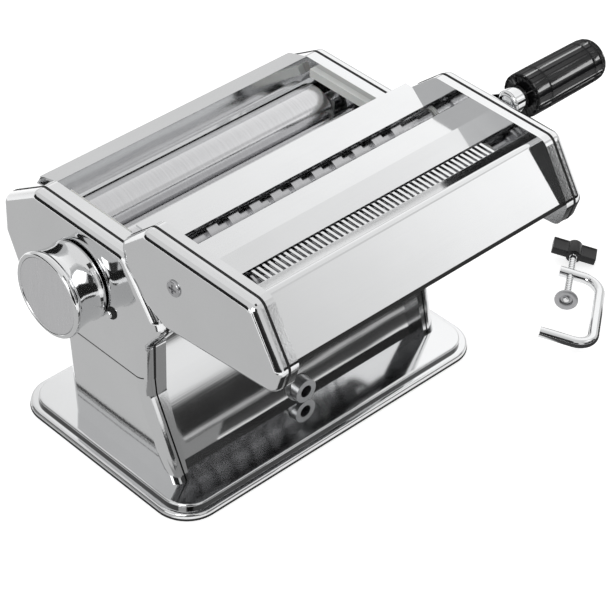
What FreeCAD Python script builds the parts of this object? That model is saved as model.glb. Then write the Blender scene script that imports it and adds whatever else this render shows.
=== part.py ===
import FreeCAD, Part
import math
import os
import re

import Sketcher

Vector = FreeCAD.Vector
doc = FreeCAD.newDocument("pasta_roller_machine")
dims = doc.addObject("Spreadsheet::Sheet", "dims")

# Driving sizes in millimetres, counts and degrees. The frame's origin is the middle of the
# base's underside: +X points to the crank, -Y to the cutter at the front, +Z up.
SIZES = {
    # base tray and its rubber feet
    "base_side": 7.5, "base_depth": 126, "base_corner": 18, "base_height": 7,
    "base_rim_height": 4.2, "base_rim_width": 4, "base_rim_round": 1.6, "base_step_round": 1.2,
    "base_sheet": 1.6, "foot_stand": 0.6, "foot_radius": 7, "foot_inset": 22,
    # outline of the side frames and side covers, in front of and behind the origin
    "head_top": 132, "head_front": 14, "head_rear_top": 50, "head_rear": 75, "head_rear_high": 116,
    "head_rear_low": 97, "head_under_rear": 66, "head_under": 79, "pedestal_top": 73,
    "pedestal_rear_top": 31, "pedestal_rear": 33, "pedestal_front": 43, "waist_front": 27,
    "waist_low": 54, "waist_high": 84, "toe_front": 37, "toe_low": 97, "toe_back": 35,
    "toe_high": 104, "outline_round": 6, "crease_height": 64, "pedestal_taper": 5,
    # side frames and covers across the machine
    "frame_half": 80, "frame_depth": 6.5, "frame_sheet": 1.2, "cover_depth": 7.5, "cover_sheet": 1,
    "cover_round": 5, "seam_gap": 0.9, "side_gap": 0.8, "fit_gap": 0.06, "swing_gap": 0.3,
    # dough rollers, their bearings and gears
    "roller_height": 109, "roller_radius": 13.5, "roller_end": 5, "roller_shaft": 6,
    "front_axis": 7, "gap_open": 3, "gap_closed": 0.5, "bush_wall": 2, "bush_flange": 2.5,
    "bush_flange_sheet": 1.8, "gear_teeth": 12, "gear_addendum": 1.9, "gear_dedendum": 3.4,
    "gear_tooth_half": 1, "gear_flank": 16,
    # roller shift: slide plates, their bar and the knob's eccentric pin
    "slide_sheet": 2, "slide_stand": 2.2, "slide_front": 8, "slide_rear": 16, "slide_top": 12,
    "shift_bar_radius": 4, "shift_bar_drop": 21, "shift_bar_back": 9, "shift_bar_spigot": 1,
    "crank_pin_radius": 1.8, "crank_pin_play": 0.35, "cam_radius": 9, "adjuster_radius": 4,
    # knob
    "knob_rear": 17.3, "knob_height": 100.4, "knob_radius": 22, "knob_length": 20, "knob_stand": 1.2,
    "knob_back_radius": 20.5, "knob_waist": 19.7, "knob_waist_at": 5, "knob_bead": 3.5,
    "knob_wall": 2.2, "knob_web": 6, "knob_rim_round": 1.2, "knob_disc_radius": 19.4,
    "knob_disc_sheet": 1.4, "knob_disc_recess": 0.6, "spring_radius": 6.5, "spring_length": 8,
    "retainer_radius": 7, "retainer_sheet": 2,
    "index_pin_radius": 1.8, "index_pin_reach": 2.5, "index_pin_forward": 22.7, "index_pin_drop": 6.7,
    # crank
    "socket_flats": 7, "socket_depth": 24, "socket_play": 0.1, "socket_proud": 1, "crank_gap": 3,
    "crank_bar": 7, "crank_bar_half": 5, "crank_shank": 4.5, "crank_boss": 6.5, "crank_arm": 86,
    "crank_angle": 31,
    "grip_radius": 11.2, "grip_length": 51, "grip_collar": 11, "grip_end_round": 4.5, "grip_flutes": 8,
    "grip_flute_radius": 6, "grip_flute_depth": 0.9, "grip_gap": 1.5, "grip_pin": 3,
    "grip_pin_head": 5.5, "grip_pin_cap": 2.5,
    # plates between the side frames
    "panel_sheet": 1, "apron_inset": 6, "apron_chute": 18, "apron_chute_top": 90, "strip_rear": 62,
    "strip_drop": 4, "strip_front_inset": 1, "guide_low": 121.5, "guide_back": 8.5, "rail_back": 16.6,
    "rail_sheet": 2.4, "rail_foot": 103, "rail_top": 124, "rail_foot_back": 9, "scraper_sheet": 1.2,
    "front_plate_back": 10, "front_plate_top": 126.5, "front_plate_tip": 1, "front_plate_tip_drop": 2.6,
    "scraper_reach": 2.2, "scraper_rise": 2.8, "tie_radius": 4, "tie_spigot": 2.5, "tie_rear": 60,
    "tie_rear_height": 99, "tie_waist": 3, "tie_waist_height": 77, "tie_low_height": 32,
    "guide_sheet": 3.5, "guide_lift": 2, "guide_tall": 4.5,
    # clamp socket in the base
    "clamp_socket_radius": 6.5, "clamp_bore": 3.4, "clamp_socket_length": 39,
    # cutter head across the machine
    "cutter_side": 5.5, "cutter_frame_depth": 5, "cutter_cover_depth": 7.5, "cutter_gear_width": 4,
    # outline of the cutter cheeks
    "cheek_top": 158, "cheek_top_rear": 33, "cheek_top_front": 103, "cheek_nose": 121,
    "cheek_nose_height": 130, "cheek_tip": 117, "cheek_tip_height": 116.5, "cheek_under": 46,
    "cheek_under_height": 110,
    "cheek_back": 32, "cheek_back_height": 117, "cheek_rear": 18, "cheek_rear_low": 131,
    "cheek_rear_top": 16, "cheek_rear_high": 143, "cheek_round": 5,
    # cutter rollers
    "cutter_ring": 8.5, "cutter_groove": 6.2, "cutter_overlap": 1.5, "cutter_shaft": 5, "cutter_end": 11.5,
    "fine_pitch": 3.2, "fine_ring": 1.3, "fine_nip": 77, "fine_height": 131,
    "wide_pitch": 13, "wide_ring": 6.2, "wide_nip": 39.5, "wide_height": 134,
    "cutter_gear_addendum": 1.1, "cutter_gear_dedendum": 1.5, "cutter_gear_tooth_half": 0.7,
    "cutter_bush_wall": 1.5,
    # cutter sheet pieces
    "cutter_strip_rear": 14, "cutter_strip_front": 34, "cutter_strip_top": 145.2, "cutter_sheet": 1.2,
    "slot_lip": 0.6, "panel_rear": 44, "panel_front": 58, "panel_top": 146, "panel_slope_front": 69,
    "panel_slope_low": 142.2, "comb_rear": 76, "comb_root": 86, "comb_top": 149.5, "comb_finger": 1.5,
    "comb_sheet": 1.2, "shroud_lip": 97, "shroud_top": 155, "shroud_nose": 118, "shroud_low": 130,
    "shroud_hem": 6, "hanger_end": 2, "hanger_low": 104, "hanger_hook": 112, "screw_forward": 54,
    "screw_height": 139, "screw_radius": 4.2, "screw_proud": 1.1, "screw_slot": 1.2,
    "screw_slot_reach": 2.4, "screw_slot_depth": 0.8, "screw_shank": 1.5, "screw_length": 2.5,
    "hanger_rest": 0.1, "cutter_tie_front": 106, "cutter_tie_front_height": 127, "cutter_tie_rear": 58,
    "cutter_tie_rear_height": 117, "cutter_tie_radius": 3.5, "cutter_tie_spigot": 2.2, "shroud_bend": 3,
    # table clamp, laid on the surface beside the machine
    "clamp_aside": 47.5, "clamp_forward": 103, "clamp_heading": 36, "clamp_rod": 2.9, "clamp_bend": 10,
    "clamp_jaw": 54, "clamp_reach": 17, "clamp_past": 6, "clamp_long_arm": 28,
    "clamp_screw_radius": 2, "clamp_pad_radius": 6.3, "clamp_pad_sheet": 3, "clamp_pad_at": 31,
    "clamp_screw_length": 47, "clamp_tip": 1.4, "clamp_tip_length": 1.6, "clamp_wing_hub": 4.2,
    "clamp_wing_length": 9, "clamp_wing_half": 12, "clamp_wing_sheet": 4.4, "clamp_wing_round": 1.5,
}

# Every sub-part that is written out, by its node name.
nodes = {}


def fill_sheet():
    for row, (alias, value) in enumerate(SIZES.items(), start=1):
        dims.set(f"A{row}", alias)
        dims.set(f"B{row}", str(value))
        dims.setAlias(f"B{row}", alias)
    doc.recompute()


def tied(text):
    """Put the sheet's name before each size that an expression uses."""
    return re.sub(r"[a-z][a-z_]*", lambda word: f"dims.{word[0]}" if word[0] in SIZES else word[0], text)


def number(text):
    return float(dims.evalExpression(tied(text)))


def bind(thing, path, text):
    thing.setExpression(path, tied(text))


def new_body(name):
    body = doc.addObject("PartDesign::Body", name)
    body.Label = name
    nodes[name] = body
    return body


def place(thing, x="0", y="0", z="0"):
    for axis, text in (("x", x), ("y", y), ("z", z)):
        if text != "0":
            bind(thing, f"Placement.Base.{axis}", text)


def turn(thing, axis, angle):
    """Turn an object about an axis through its own origin, by a bound angle."""
    thing.Placement = FreeCAD.Placement(thing.Placement.Base, FreeCAD.Rotation(axis, number(angle)))
    bind(thing, "Placement.Rotation.Angle", angle)


# Sketch helpers: corners and centres are bound to the sheet, one constraint for each coordinate.

def new_sketch(body, plane, shift="0"):
    sketch = body.newObject("Sketcher::SketchObject", f"{body.Name}_sketch")
    origin = next(item for item in body.Origin.OriginFeatures if item.Role == plane)
    sketch.AttachmentSupport = [(origin, "")]
    sketch.MapMode = "FlatFace"
    if shift != "0":
        bind(sketch, "AttachmentOffset.Base.z", shift)
    return sketch


def pin_point(sketch, geometry, end, u, v):
    for kind, axis, text in (("DistanceX", -2, u), ("DistanceY", -1, v)):
        if text == "0":
            sketch.addConstraint(Sketcher.Constraint("PointOnObject", geometry, end, axis))
            continue
        index = sketch.addConstraint(Sketcher.Constraint(kind, -1, 1, geometry, end, number(text)))
        bind(sketch, f"Constraints[{index}]", text)


def draw_polygon(sketch, corners):
    first = sketch.GeometryCount
    count = len(corners)
    spots = [Vector(number(u), number(v), 0) for u, v in corners]
    for i in range(count):
        sketch.addGeometry(Part.LineSegment(spots[i], spots[(i + 1) % count]))
    for i in range(count):
        sketch.addConstraint(Sketcher.Constraint("Coincident", first + i, 2, first + (i + 1) % count, 1))
    for i, (u, v) in enumerate(corners):
        pin_point(sketch, first + i, 1, u, v)
    return sketch


def draw_circle(sketch, u, v, radius):
    spot = Vector(number(u), number(v), 0)
    index = sketch.addGeometry(Part.Circle(spot, Vector(0, 0, 1), number(radius)))
    pin_point(sketch, index, 3, u, v)
    row = sketch.addConstraint(Sketcher.Constraint("Radius", index, number(radius)))
    bind(sketch, f"Constraints[{row}]", radius)
    return sketch


def box_corners(left, right, low, high):
    return [(left, low), (right, low), (right, high), (left, high)]


# Feature helpers

def pad(body, sketch, length, backwards=False, both_ways=False):
    feature = body.newObject("PartDesign::Pad", f"{body.Name}_pad")
    feature.Profile = sketch
    feature.SideType = "Symmetric" if both_ways else "One side"
    feature.Reversed = backwards
    bind(feature, "Length", length)
    sketch.Visibility = False
    return feature


def cut_through(body, sketch):
    """Cut a sketch through the whole body, both ways from its plane."""
    before = solid_volume(body)
    feature = body.newObject("PartDesign::Pocket", f"{body.Name}_cut")
    feature.Profile = sketch
    feature.SideType = "Symmetric"
    feature.Type = "ThroughAll"
    check_cut(body, before)
    return feature


def cut_blind(body, sketch, depth, backwards=False):
    before = solid_volume(body)
    feature = body.newObject("PartDesign::Pocket", f"{body.Name}_cut")
    feature.Profile = sketch
    feature.Reversed = backwards
    bind(feature, "Length", depth)
    check_cut(body, before)
    return feature


def solid_volume(body):
    doc.recompute()
    return body.Shape.Volume


def check_cut(body, before):
    if solid_volume(body) > before - 1e-3:
        raise RuntimeError(f"a cut in {body.Label} removes nothing")


def revolve(body, sketch):
    feature = body.newObject("PartDesign::Revolution", f"{body.Name}_turned")
    feature.Profile = sketch
    feature.ReferenceAxis = (sketch, ["H_Axis"])
    feature.Angle = 360
    return feature


def round_edges(body, wanted, radius):
    doc.recompute()
    base = body.Tip
    names = [f"Edge{i}" for i, edge in enumerate(base.Shape.Edges, start=1) if wanted(edge)]
    if not names:
        raise RuntimeError(f"no edge to round on {body.Label}")
    feature = body.newObject("PartDesign::Fillet", f"{body.Name}_round")
    feature.Base = (base, names)
    bind(feature, "Radius", radius)
    return feature


def hollow(body, wanted, sheet):
    """Leave a wall of the given sheet behind the body's faces, open at the wanted faces."""
    doc.recompute()
    base = body.Tip
    names = [f"Face{i}" for i, face in enumerate(base.Shape.Faces, start=1) if wanted(face)]
    feature = body.newObject("PartDesign::Thickness", f"{body.Name}_shell")
    feature.Base = (base, names)
    feature.Reversed = True
    bind(feature, "Value", sheet)
    doc.recompute()
    return feature


def middle(edge):
    return edge.valueAt((edge.FirstParameter + edge.LastParameter) / 2)


def along_x(edge):
    ends = edge.Vertexes
    span = ends[-1].Point - ends[0].Point
    return len(ends) == 2 and abs(span.x) > 0.01 and math.hypot(span.y, span.z) < 0.01


def faces_x(face, sign):
    u_low, u_high, v_low, v_high = face.ParameterRange
    return sign * face.normalAt((u_low + u_high) / 2, (v_low + v_high) / 2).x > 0.9


# Piece helpers: most pieces are bent sheet of one section across the machine, or turned parts.

def across(name, corners, half):
    """A piece of one section that runs across the machine, as far each way from the middle."""
    body = new_body(name)
    pad(body, draw_polygon(new_sketch(body, "YZ_Plane"), corners), f"2 * ({half})", both_ways=True)
    return body


def slab(name, corners, start, thickness, side=1):
    """A plate that stands across X, from start outwards on the right (1) or left (-1) side."""
    body = new_body(name)
    sketch = new_sketch(body, "YZ_Plane", f"{side} * ({start})")
    pad(body, draw_polygon(sketch, corners), thickness, backwards=side < 0)
    return body


def turned(name, y, z, profile):
    """A turned piece on an axis along X, from the (x, radius) corners of its half section."""
    body = new_body(name)
    revolve(body, draw_polygon(new_sketch(body, "XY_Plane"), profile))
    place(body, y=y, z=z)
    return body


def holes(body, spots):
    sketch = new_sketch(body, "YZ_Plane")
    for y, z, radius in spots:
        draw_circle(sketch, y, z, radius)
    cut_through(body, sketch)


def window(body, left, right, low, high):
    sketch = draw_polygon(new_sketch(body, "YZ_Plane"), box_corners(left, right, low, high))
    cut_through(body, sketch)


def tube(name, start, end, inner, outer, y, z):
    return turned(name, y, z, [(start, inner), (end, inner), (end, outer), (start, outer)])


def group(name, members):
    """Several like solids that share one node."""
    compound = doc.addObject("Part::Compound", name)
    compound.Label = name
    compound.Links = members
    nodes[name] = compound
    return compound


def member(piece):
    """Take a piece out of the list of nodes, because a group carries it."""
    del nodes[piece.Label]
    return piece


fill_sheet()

# Places that several pieces share
REAR_AXIS = "(front_axis + 2 * roller_radius + gap_open)"
SHIFT = "(gap_open - gap_closed)"
WEB = "(frame_half + frame_sheet)"
SEAM = "(frame_half + frame_depth)"
FACE = "(frame_half + frame_depth + cover_depth)"
SLIDE_IN = f"({WEB} + slide_stand)"
SLIDE_OUT = f"({WEB} + slide_stand + slide_sheet)"
GEAR_IN = f"({SLIDE_OUT} + side_gap)"
GEAR_OUT = f"({FACE} - cover_sheet - side_gap)"
BAR_Y = f"({REAR_AXIS} + shift_bar_back)"
BAR_Z = "(roller_height - shift_bar_drop)"
ROLLER_END = "(frame_half - roller_end)"
BASE_HALF = f"({FACE} + base_side)"
TIES = (("tie_rear", "tie_rear_height"), ("tie_waist", "tie_waist_height"), ("tie_waist", "tie_low_height"))


def side_outline(drop):
    """The outline of a side frame or cover, with its foot carried on below the base's top by a drop."""
    front = f"(pedestal_front + (pedestal_front - waist_front) * {drop} / (waist_low - base_height))"
    rear = f"(pedestal_rear + (pedestal_rear - pedestal_rear_top) * {drop} / (pedestal_top - base_height))"
    foot = f"base_height - {drop}"
    return [
        ("-head_front", "head_top"), ("head_rear_top", "head_top"), ("head_rear", "head_rear_high"),
        ("head_rear", "head_rear_low"), ("head_under_rear", "head_under"),
        ("pedestal_rear_top", "pedestal_top"), (rear, foot), (f"-{front}", foot),
        ("-waist_front", "waist_low"), ("-waist_front", "waist_high"), ("-toe_front", "toe_low"),
        ("-toe_back", "toe_high"),
    ]


# Base

def make_base():
    """The pressed base tray: a low outer rim, a raised flat top and an open underside."""
    body = new_body("base_plate")
    rim = draw_rounded_box(new_sketch(body, "XY_Plane", "foot_stand"), "0", "base_corner")
    pad(body, rim, "base_rim_height - foot_stand")
    rim_top = number("base_rim_height")
    round_edges(body, lambda edge: edge.BoundBox.ZMin > rim_top - 0.01, "base_rim_round")
    top = draw_rounded_box(new_sketch(body, "XY_Plane", "foot_stand"), "base_rim_width",
                           "base_corner - base_rim_width")
    pad(body, top, "base_height - foot_stand")
    step = number("base_height")
    round_edges(body, lambda edge: edge.BoundBox.ZMin > step - 0.01, "base_step_round")
    wall = "base_rim_width + base_sheet"
    under = draw_rounded_box(new_sketch(body, "XY_Plane", "foot_stand"), wall, f"base_corner - ({wall})")
    cut_blind(body, under, "base_height - base_sheet - foot_stand", backwards=True)


def draw_rounded_box(sketch, inset, radius):
    """The base's outline, drawn in by an inset: four sides joined by tangent corner arcs."""
    reach = number(radius)
    corner_x = f"({BASE_HALF} - ({inset}) - ({radius}))"
    corner_y = f"(base_depth / 2 - ({inset}) - ({radius}))"
    quarters = ((1, 1), (-1, 1), (-1, -1), (1, -1))
    for turn_count, (side_x, side_y) in enumerate(quarters):
        centre = Vector(side_x * number(corner_x), side_y * number(corner_y), 0)
        start = turn_count * math.pi / 2
        circle = Part.Circle(centre, Vector(0, 0, 1), reach)
        index = sketch.addGeometry(Part.ArcOfCircle(circle, start, start + math.pi / 2))
        pin_point(sketch, index, 3, f"{side_x} * {corner_x}", f"{side_y} * {corner_y}")
        row = sketch.addConstraint(Sketcher.Constraint("Radius", index, reach))
        bind(sketch, f"Constraints[{row}]", radius)
    for arc in range(4):
        following = (arc + 1) % 4
        ends = [sketch.getPoint(arc, 2), sketch.getPoint(following, 1)]
        line = sketch.addGeometry(Part.LineSegment(*ends))
        sketch.addConstraint(Sketcher.Constraint("Tangent", arc, 2, line, 1))
        sketch.addConstraint(Sketcher.Constraint("Tangent", line, 2, following, 1))
    return sketch


def make_feet():
    """A rubber pad near each corner of the tray and one under its middle."""
    feet = []
    for side_x, side_y in ((-1, -1), (-1, 1), (1, -1), (1, 1), (0, 0)):
        foot = doc.addObject("Part::Cylinder", "base_foot")
        bind(foot, "Radius", "foot_radius")
        bind(foot, "Height", "base_height - base_sheet")
        place(foot, x=f"{side_x} * ({BASE_HALF} - foot_inset)",
              y=f"{side_y} * (base_depth / 2 - foot_inset)")
        feet.append(foot)
    group("base_feet", feet)


# Side frames and side covers

def lean(x_text, z_text):
    """The X of a side face at a height below the crease, where the pedestal leans inwards."""
    return f"({x_text} - pedestal_taper * (crease_height - ({z_text})) / (crease_height - base_height))"


def trim_side(body, side, x_text, reach, low_only):
    """Cut a side piece back to the plane x, which leans inwards below the crease."""
    out = f"({x_text} + ({reach}))"
    deep = "(-2 * base_height)"
    corners = [(x_text, "crease_height"), (lean(x_text, deep), deep), (out, deep)]
    if low_only:
        corners += [(out, "crease_height")]
    else:
        corners += [(out, "head_top + outline_round"), (x_text, "head_top + outline_round")]
    sketch = new_sketch(body, "XZ_Plane")
    cut_through(body, draw_polygon(sketch, [(f"{side} * {x}", z) for x, z in corners]))


def cut_foot(body):
    """Cut a side cover flat on the base's top."""
    far = "(head_rear + pedestal_front)"
    foot = box_corners(f"-{far}", far, "-2 * base_height", "base_height")
    cut_through(body, draw_polygon(new_sketch(body, "YZ_Plane"), foot))


def round_outline(body, radius):
    """Round the corners of a side outline, above the base."""
    floor = number("base_height") + 1
    round_edges(body, lambda edge: along_x(edge) and edge.BoundBox.ZMax > floor, radius)


def depth_below(side, face, leaning):
    """A test of how far a point lies inside a side's outer face, for picking its rim."""
    crease, base, taper = number("crease_height"), number("base_height"), number("pedestal_taper")

    def depth(point):
        x = number(face)
        if leaning and point.z < crease:
            x -= taper * (crease - point.z) / (crease - base)
        return x - side * point.x

    return depth


def round_rim(body, side, face, sheet, radius, leaning):
    """Round a hollow side piece's rim, first inside and then outside, so that its wall stays even."""
    depth = depth_below(side, face, leaning)
    crease = number("crease_height")
    wall = number(sheet)

    def on_rim(edge, wanted):
        box = edge.BoundBox
        level = box.ZLength < wall and box.YLength > wall
        if leaning and level and abs(middle(edge).z - crease) < wall:
            return False
        if leaning and box.ZMax < 0:
            return False
        spots = [middle(edge)] + [vertex.Point for vertex in edge.Vertexes]
        return all(abs(depth(spot) - wanted) < wall / 4 for spot in spots)

    round_edges(body, lambda edge: on_rim(edge, wall), f"{radius} - {sheet}")
    round_edges(body, lambda edge: on_rim(edge, 0), radius)


def make_side(side, word):
    """One side of the body: the flanged inner frame and the pressed outer cover."""
    frame = slab(f"{word}_frame", side_outline("0"), "frame_half", "frame_depth", side)
    trim_side(frame, side, SEAM, "frame_depth", low_only=True)
    round_outline(frame, "outline_round")
    hollow(frame, lambda face: faces_x(face, side), "frame_sheet")
    holes(frame, [("front_axis", "roller_height", "roller_shaft + bush_wall")]
          + [(y, z, "tie_spigot") for y, z in TIES])
    reach = "(roller_shaft + swing_gap)"
    window(frame, f"{REAR_AXIS} - {SHIFT} - {reach}", f"{REAR_AXIS} + {reach}",
           f"roller_height - {reach}", f"roller_height + {reach}")
    slot = "(shift_bar_radius + swing_gap)"
    window(frame, f"{BAR_Y} - {SHIFT} - {slot}", f"{BAR_Y} + {slot}",
           f"{BAR_Z} - {slot}", f"{BAR_Z} + {slot}")

    cover = slab(f"{word}_cover", side_outline("(2 * base_height)"), f"{SEAM} - 2 * pedestal_taper",
                 "cover_depth + 2 * pedestal_taper", side)
    trim_side(cover, side, FACE, "cover_depth", low_only=True)
    trim_side(cover, side, f"({SEAM} + seam_gap)", "-cover_depth - 3 * pedestal_taper", low_only=False)
    round_outline(cover, "outline_round")
    hollow(cover, lambda face: faces_x(face, -side), "cover_sheet")
    round_rim(cover, side, FACE, "cover_sheet", "cover_round", leaning=True)
    cut_foot(cover)
    return frame, cover


# Plates between the side frames

def make_panels():
    apron_top = "-(waist_front - apron_inset)"
    apron_foot = "-(pedestal_front - apron_inset)"
    apron = across("front_apron", [
        ("apron_chute", "apron_chute_top"), (apron_top, "waist_high"), (apron_top, "waist_low"),
        (apron_foot, "base_height"), (f"{apron_foot} + panel_sheet", "base_height"),
        (f"{apron_top} + panel_sheet", "waist_low"),
        (f"{apron_top} + panel_sheet", "waist_high - panel_sheet"),
        ("apron_chute", "apron_chute_top - panel_sheet")], "frame_half")
    mouth = draw_circle(new_sketch(apron, "XZ_Plane"), "0", "base_height + clamp_socket_radius",
                        "clamp_socket_radius + swing_gap")
    cut_through(apron, mouth)

    rear_top = "pedestal_rear_top - apron_inset"
    rear_foot = "pedestal_rear - apron_inset"
    across("rear_panel", [(rear_top, "pedestal_top"), (rear_foot, "base_height"),
                          (f"{rear_foot} - panel_sheet", "base_height"),
                          (f"{rear_top} - panel_sheet", "pedestal_top")], "frame_half")

    strip_low = "head_top - strip_drop"
    strip_front = "head_rear_top - strip_front_inset"
    guide_tip = f"{REAR_AXIS} + guide_back"
    across("rear_feed_plate", [
        ("strip_rear", strip_low), (strip_front, "head_top"), (guide_tip, "guide_low"),
        (f"{guide_tip} + panel_sheet", "guide_low"),
        (f"{strip_front} + panel_sheet", "head_top - 1.5 * panel_sheet"),
        ("strip_rear", f"{strip_low} - panel_sheet")], "frame_half")

    back = "head_rear - apron_inset"
    under = "head_under_rear - apron_inset"
    across("rear_head_panel", [
        ("strip_rear", f"{strip_low} - panel_sheet"), (back, "head_rear_high"), (back, "head_rear_low"),
        (under, "head_under"), (f"{under} - panel_sheet", "head_under"),
        (f"{back} - panel_sheet", "head_rear_low"), (f"{back} - panel_sheet", "head_rear_high"),
        ("strip_rear - panel_sheet", f"{strip_low} - panel_sheet")], "frame_half")

    rail_front = "-rail_back - rail_sheet"
    leg_top = "rail_foot + rail_sheet"
    across("cutter_rail", [
        (rail_front, "rail_foot"), ("-rail_foot_back", "rail_foot"), ("-rail_foot_back", leg_top),
        ("-rail_back", leg_top), ("-rail_back", "rail_top"), (rail_front, "rail_top")], "frame_half")
    plate_front = "-front_plate_back - panel_sheet"
    plate_foot = f"{leg_top} + scraper_sheet"
    across("front_scraper", [
        (f"{plate_front} - panel_sheet", leg_top), ("-rail_foot_back + scraper_reach", leg_top),
        ("-rail_foot_back + scraper_reach - scraper_sheet", plate_foot),
        (f"{plate_front} - panel_sheet", plate_foot)], ROLLER_END)
    tip = "front_plate_top - front_plate_tip_drop"
    across("front_feed_plate", [
        (plate_front, plate_foot), ("-front_plate_back", plate_foot),
        ("-front_plate_back", "front_plate_top - panel_sheet"), ("-front_plate_tip", f"{tip} - panel_sheet"),
        ("-front_plate_tip", tip), (plate_front, "front_plate_top")], "frame_half")

    low = "roller_height + roller_radius + guide_lift"
    guide = box_corners("0", f"{REAR_AXIS} + roller_shaft", low, f"{low} + guide_tall")
    for side, word in ((-1, "left"), (1, "right")):
        slab(f"{word}_dough_guide", guide, "frame_half - guide_sheet", "guide_sheet", side)


def make_ties(name, spots, inner, outer, radius, spigot):
    """Spacer rods between two side plates, with spigots peened over in the plates."""
    profile = [(f"-{outer}", "0"), (f"-{outer}", spigot), (f"-{inner}", spigot), (f"-{inner}", radius),
               (inner, radius), (inner, spigot), (outer, spigot), (outer, "0")]
    rods = []
    for index, (y, z) in enumerate(spots, start=1):
        rods.append(member(turned(f"{name}_{index}", y, z, profile)))
    group(name, rods)


def make_clamp_socket():
    body = new_body("clamp_socket")
    sketch = new_sketch(body, "XZ_Plane")
    for radius in ("clamp_socket_radius", "clamp_bore"):
        draw_circle(sketch, "0", "base_height + clamp_socket_radius", radius)
    pad(body, sketch, "clamp_socket_length")


# Dough rollers, bearings and gears

def hex_corners(flats, turned_by="0"):
    corner = f"({flats}) / sqrt(3)"
    angles = [f"({angle} + {turned_by})" for angle in range(15, 360, 60)]
    return [(f"{corner} * cos{angle}", f"{corner} * sin{angle}") for angle in angles]


def cut_socket(body, mouth):
    """The six-sided socket that takes the crank, in the right-hand end of a shaft."""
    sketch = draw_polygon(new_sketch(body, "YZ_Plane", mouth), hex_corners("socket_flats"))
    cut_blind(body, sketch, "socket_depth")


def make_rollers():
    end = ROLLER_END
    mouth = f"{FACE} + socket_proud"
    left = f"-({WEB} + side_gap)"
    front = turned("front_roller", "front_axis", "roller_height", [
        (left, "0"), (left, "roller_shaft"), (f"-{end}", "roller_shaft"), (f"-{end}", "roller_radius"),
        (end, "roller_radius"), (end, "roller_shaft"), (mouth, "roller_shaft"), (mouth, "0")])
    cut_socket(front, mouth)
    left = f"-({SLIDE_OUT} + swing_gap)"
    turned("rear_roller", REAR_AXIS, "roller_height", [
        (left, "0"), (left, "roller_shaft"), (f"-{end}", "roller_shaft"), (f"-{end}", "roller_radius"),
        (end, "roller_radius"), (end, "roller_shaft"), (GEAR_OUT, "roller_shaft"), (GEAR_OUT, "0")])


def flanged_bush(name, y, side, flange_in, seat, out):
    """A bush whose flange lies on the inner side of the plate that holds it."""
    bore = "roller_shaft + fit_gap"
    wall = "roller_shaft + bush_wall"
    flange = f"{wall} + bush_flange"
    corners = [(flange_in, bore), (out, bore), (out, wall), (seat, wall), (seat, flange), (flange_in, flange)]
    return turned(name, y, "roller_height", [(f"{side} * ({x})", radius) for x, radius in corners])


def make_bushes():
    front = [flanged_bush(f"front_bush_{word}", "front_axis", side, "frame_half - bush_flange_sheet",
                          "frame_half", WEB) for side, word in ((-1, "left"), (1, "right"))]
    group("front_roller_bushes", [member(bush) for bush in front])
    rear = [flanged_bush(f"rear_bush_{word}", REAR_AXIS, side, f"{SLIDE_IN} - bush_flange_sheet",
                         SLIDE_IN, SLIDE_OUT) for side, word in ((-1, "left"), (1, "right"))]
    group("rear_roller_bushes", [member(bush) for bush in rear])


def make_gear(name, y, z, pitch, sizes, bore, start, width, half_step):
    """A spur gear with straight-flanked teeth; half_step turns it by half a tooth for its mate."""
    addendum, dedendum, half = sizes
    root = f"({pitch} - {dedendum})"
    tip = f"({pitch} + {addendum})"
    body = new_body(name)
    disc = new_sketch(body, "YZ_Plane", start)
    draw_circle(disc, "0", "0", root)
    draw_circle(disc, "0", "0", bore)
    pad(body, disc, width)
    inside = f"({root} - {dedendum} / 2)"
    foot = f"({half} + {dedendum} * tan(gear_flank))"
    top = f"({half} - {addendum} * tan(gear_flank))"
    tooth = new_sketch(body, "YZ_Plane", start)
    draw_polygon(tooth, [(inside, f"-{foot}"), (root, f"-{foot}"), (tip, f"-{top}"), (tip, top), (root, foot),
                         (inside, foot)])
    tooth_pad = pad(body, tooth, width)
    doc.recompute()
    ring = body.newObject("PartDesign::PolarPattern", f"{name}_teeth")
    ring.Originals = [tooth_pad]
    ring.Axis = (tooth, ["N_Axis"])
    ring.Angle = 360
    bind(ring, "Occurrences", "gear_teeth")
    body.Tip = ring
    if half_step:
        turn(body, Vector(1, 0, 0), "180 / gear_teeth")
    place(body, y=y, z=z)
    return body


def make_roller_gears():
    pitch = "(roller_radius + (gap_open + gap_closed) / 4)"
    sizes = ("gear_addendum", "gear_dedendum", "gear_tooth_half")
    width = f"{GEAR_OUT} - {GEAR_IN}"
    for name, axis, half_step in (("drive_gear", "front_axis", False), ("driven_gear", REAR_AXIS, True)):
        make_gear(name, axis, "roller_height", pitch, sizes, "roller_shaft", GEAR_IN, width, half_step)


# Roller shift: two slide plates carry the rear roller, and the knob's eccentric pin moves them.

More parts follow.
